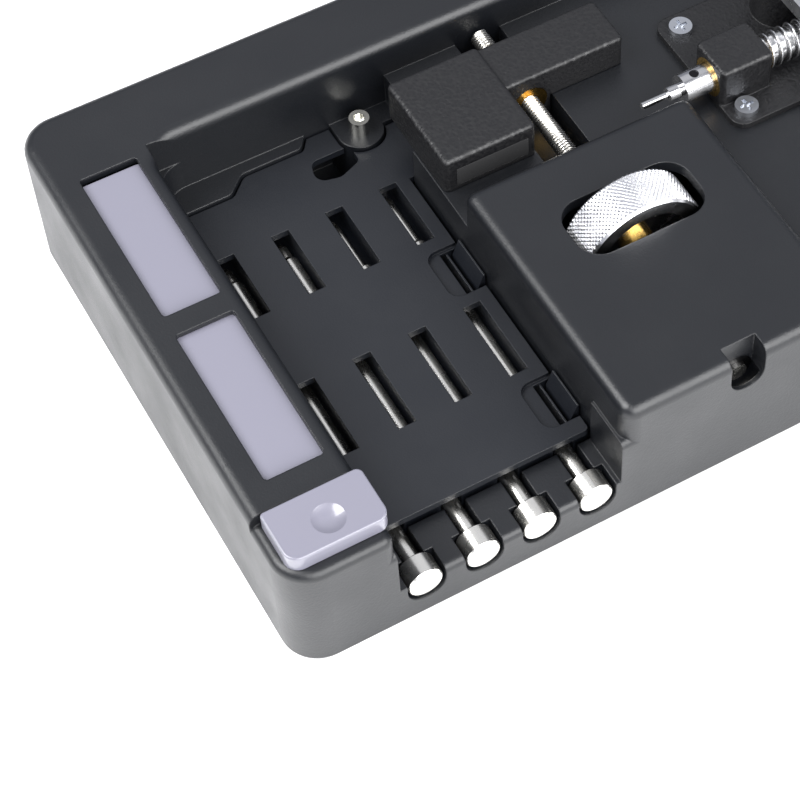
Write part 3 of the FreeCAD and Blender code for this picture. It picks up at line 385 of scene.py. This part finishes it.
rolled = add(tree, "GeometryNodeSetPosition", {"Geometry": grid.outputs["Mesh"],
                                               "Position": wrapped.outputs["Vector"]})
closed = add(tree, "GeometryNodeMergeByDistance", {"Geometry": rolled.outputs["Geometry"],
                                                   "Distance": 0.004 * MM})
close_tree(tree, closed.outputs["Geometry"], pin_steel)
screw = build(tree, "threaded_screw")
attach(screw, "wheel")
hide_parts("jaw_screw")

# %% [markdown]
# ## The return spring and the grip's ribs
# A compression spring is a round wire that follows a helix. The helix comes from Blender's own
# spiral, and a small circle swept along it gives the wire. It fills the space that the CAD's plain
# sleeve keeps for it. The grip's ribs are one round bar repeated along it, so that a thumb doesn't
# slip.

# %% Coil spring
sleeve_low, sleeve_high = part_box("ram_spring")
sleeve = (sleeve_low + sleeve_high) / 2
wire = 0.32 * MM
tree, size = new_tree("coil_spring", {
    "Coil Radius": ("NodeSocketFloat", (sleeve_high.z - sleeve_low.z) / 2 - wire),
    "Wire": ("NodeSocketFloat", wire), "Turns": ("NodeSocketFloat", 5.5),
    "Length": ("NodeSocketFloat", sleeve_high.x - sleeve_low.x - 2 * wire)})
helix = add(tree, "GeometryNodeCurveSpiral", {"Resolution": 36, "Rotations": size["Turns"],
                                              "Start Radius": size["Coil Radius"],
                                              "End Radius": size["Coil Radius"], "Height": size["Length"]})
round_wire = add(tree, "GeometryNodeCurvePrimitiveCircle", {"Resolution": 12, "Radius": size["Wire"]})
swept = add(tree, "GeometryNodeCurveToMesh", {"Curve": helix.outputs["Curve"], "Fill Caps": True,
                                              "Profile Curve": round_wire.outputs["Curve"]})
laid = add(tree, "GeometryNodeTransform", {"Geometry": swept.outputs["Mesh"],
                                           "Translation": (sleeve_low.x + wire, sleeve.y, sleeve.z),
                                           "Rotation": (0.0, math.pi / 2, 0.0)})
close_tree(tree, laid.outputs["Geometry"], ram_steel)
spring = build(tree, "return_spring")
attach(spring, "ram")
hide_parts("ram_spring")

# %% Ribs across the grip
grip_low, grip_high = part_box("lever_grip")
grip = (grip_low + grip_high) / 2
RIB_SUNK = 0.25 * MM      # a rib's axis lies this far under the grip's top
tree, size = new_tree("grip_ribs", {
    "Count": ("NodeSocketInt", 9), "Pitch": ("NodeSocketFloat", 3.0 * MM),
    "Radius": ("NodeSocketFloat", 0.7 * MM), "Length": ("NodeSocketFloat", 8.0 * MM)})
row_of_points = add(tree, "GeometryNodeMeshLine", {
    "Count": size["Count"], "Start Location": (grip.x, grip.y - 12 * MM, grip_high.z - RIB_SUNK),
    "Offset": add(tree, "ShaderNodeCombineXYZ", {"Y": size["Pitch"]}).outputs["Vector"]})
bar = add(tree, "GeometryNodeMeshCylinder", {"Vertices": 16, "Radius": size["Radius"],
                                             "Depth": size["Length"]})
ribs = add(tree, "GeometryNodeInstanceOnPoints", {"Points": row_of_points.outputs["Mesh"],
                                                  "Instance": bar.outputs["Mesh"],
                                                  "Rotation": (0.0, math.pi / 2, 0.0)})
close_tree(tree, ribs.outputs["Instances"], soft_grip)
grip_ribs = build(tree, "grip_ribs")
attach(grip_ribs, "lever")

# %% [markdown]
# ## Floor, light and camera
# The tool stands on a pale sheet under soft light. A wide light high in front and a smaller one on the
# left fall mostly on the sheet, which the upright walls mirror, so walls are pale while level tops,
# which mirror the dim rear, stay dark.

# %% Stage
LENS = 112.9995           # focal length in mm, on a sensor 36 mm wide
SENSOR = 36.0
LENS_SHIFT = (-0.18725, -0.00475)
CAMERA_PLACE = (-154.57 * MM, -271.58 * MM, 401.67 * MM)
CAMERA_DROP = 54.989      # degrees below the horizon
CAMERA_SWING = 30.311     # degrees to the right of straight ahead

floor_material, tree, shader, place = new_material("pale_floor")
shader.inputs["Base Color"].default_value = colour("#fbfbfb")
shader.inputs["Roughness"].default_value = 0.9
bpy.ops.mesh.primitive_plane_add(size=6.0, location=(0, 0, 0))
floor = bpy.context.object
floor.name = "floor"
floor.data.materials.append(floor_material)

world = bpy.data.worlds.new("studio")
bpy.context.scene.world = world
world.use_nodes = True
world.node_tree.nodes["Background"].inputs["Color"].default_value = colour("#e9edfb")
world.node_tree.nodes["Background"].inputs["Strength"].default_value = 0.42
bpy.context.scene.view_settings.view_transform = "Standard"


def soft_light(name, place, target, size, watts):
    data = bpy.data.lights.new(name, "AREA")
    data.shape = "RECTANGLE"
    data.size, data.size_y = size
    data.energy = watts
    light = bpy.data.objects.new(name, data)
    bpy.context.scene.collection.objects.link(light)
    light.location = place
    light.rotation_euler = (Vector(target) - Vector(place)).to_track_quat("-Z", "Y").to_euler()
    return light


soft_light("front_light", (0.2, -0.78, 0.62), (0, 0, 0.02), (1.5, 0.9), 31.0)
soft_light("top_light", (0.32, 0.55, 0.9), (0, 0, 0.0), (1.2, 0.9), 1.5)
soft_light("left_light", (-0.5, 0.12, 0.6), (-0.1, 0.02, 0.0), (0.5, 0.5), 9.0)

camera_data = bpy.data.cameras.new("camera")
camera = bpy.data.objects.new("camera", camera_data)
bpy.context.scene.collection.objects.link(camera)
bpy.context.scene.camera = camera
camera_data.lens = LENS
camera_data.sensor_width = SENSOR
camera_data.shift_x, camera_data.shift_y = LENS_SHIFT
camera_data.clip_start = 0.01
camera.location = CAMERA_PLACE
camera.rotation_euler = (math.radians(90 - CAMERA_DROP), 0.0, math.radians(-CAMERA_SWING))
print("camera at", [round(c, 4) for c in camera.location])
